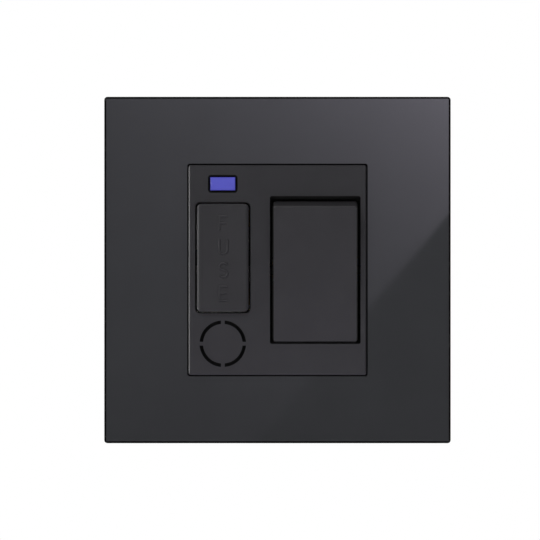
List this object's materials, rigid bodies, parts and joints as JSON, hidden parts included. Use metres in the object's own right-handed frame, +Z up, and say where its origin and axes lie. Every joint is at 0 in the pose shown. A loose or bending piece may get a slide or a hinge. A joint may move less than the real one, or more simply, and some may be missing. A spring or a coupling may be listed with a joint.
{
  "type": "fused spur unit",
  "caption": "Square switched fused connection unit with a glossy black plate, large rocker, blue indicator, pull-out fuse drawer and a flex outlet break-out.",
  "frame": {"origin": "midway between the yoke's two fixing holes, on the yoke's rear face, which is the wall's surface", "axes": "+X to the right seen from the front, +Y into the wall, +Z up; the front faces -Y"},
  "size_m": [0.086, 0.0368, 0.086],
  "materials": {
    "black_glass": "gloss",
    "frame_plastic": "satin",
    "zinc_steel": "satin",
    "satin_plastic": "satin",
    "base_plastic": "satin",
    "indicator_blue": "gloss",
    "led_resin": "gloss",
    "circuit_board": "satin",
    "resistor_body": "gloss",
    "wire_brown": "satin",
    "wire_blue": "satin",
    "fuse_ceramic": "satin",
    "nickel_plate": "gloss",
    "spring_bronze": "satin",
    "plunger_plastic": "satin",
    "spring_steel": "satin",
    "brass": "satin",
    "silver_contact": "satin",
    "terminal_brass": "satin",
    "screw_steel": "satin",
    "clamp_plastic": "satin"
  },
  "bodies": {
    "housing": {"front_panel": "black_glass", "cover_frame": "frame_plastic", "mounting_yoke": "zinc_steel", "centre_plate": "satin_plastic", "base": "base_plastic", "indicator_lens": "indicator_blue", "indicator_led": "led_resin", "indicator_board": "circuit_board", "indicator_resistor": "resistor_body", "indicator_live_wire": "wire_brown", "indicator_neutral_wire": "wire_blue", "fuse_clip_upper": "spring_bronze", "fuse_clip_lower": "spring_bronze", "live_fulcrum_strap": "brass", "neutral_fulcrum_strap": "brass", "load_live_strap": "brass", "earth_strap": "brass", "earth_rivet": "zinc_steel", "live_fixed_contact": "brass", "neutral_fixed_contact": "brass", "live_fixed_tip": "silver_contact", "neutral_fixed_tip": "silver_contact", "supply_live_terminal": "terminal_brass", "supply_earth_terminal": "terminal_brass", "supply_neutral_terminal": "terminal_brass", "load_live_terminal": "terminal_brass", "load_earth_terminal": "terminal_brass", "load_neutral_terminal": "terminal_brass", "terminal_screws": "screw_steel", "cord_clamp": "clamp_plastic", "cord_clamp_screws": "screw_steel", "cover_screws": "screw_steel"},
    "rocker_assembly": {"rocker": "satin_plastic", "live_plunger": "plunger_plastic", "neutral_plunger": "plunger_plastic", "live_plunger_spring": "spring_steel", "neutral_plunger_spring": "spring_steel"},
    "fuse_drawer": {"fuse_carrier": "satin_plastic", "fuse_barrel": "fuse_ceramic", "fuse_cap_upper": "nickel_plate", "fuse_cap_lower": "nickel_plate"},
    "live_contact_arm": {"live_moving_contact": "brass", "live_moving_tip": "silver_contact"},
    "neutral_contact_arm": {"neutral_moving_contact": "brass", "neutral_moving_tip": "silver_contact"}
  },
  "joints": [
    {"name": "rocker_tilt", "type": "hinge", "parent": "housing", "child": "rocker_assembly", "pos_m": [0.00938, -0.0036, 0], "axis": [1, 0, 0], "range_deg": [-14, 0]},
    {"name": "live_contact_rock", "type": "hinge", "parent": "housing", "child": "live_contact_arm", "pos_m": [0.00238, 0.0076, 0], "axis": [1, 0, 0], "range_deg": [0, 16]},
    {"name": "neutral_contact_rock", "type": "hinge", "parent": "housing", "child": "neutral_contact_arm", "pos_m": [0.01638, 0.0076, 0], "axis": [1, 0, 0], "range_deg": [0, 16]},
    {"name": "fuse_drawer_slide", "type": "slide", "parent": "housing", "child": "fuse_drawer", "axis": [0, -1, 0], "range_m": [0, 0.015]}
  ],
  "couplings": [
    {"joint": "live_contact_rock", "follows": "rocker_tilt", "ratio": -1.1429},
    {"joint": "neutral_contact_rock", "follows": "rocker_tilt", "ratio": -1.1429}
  ]
}
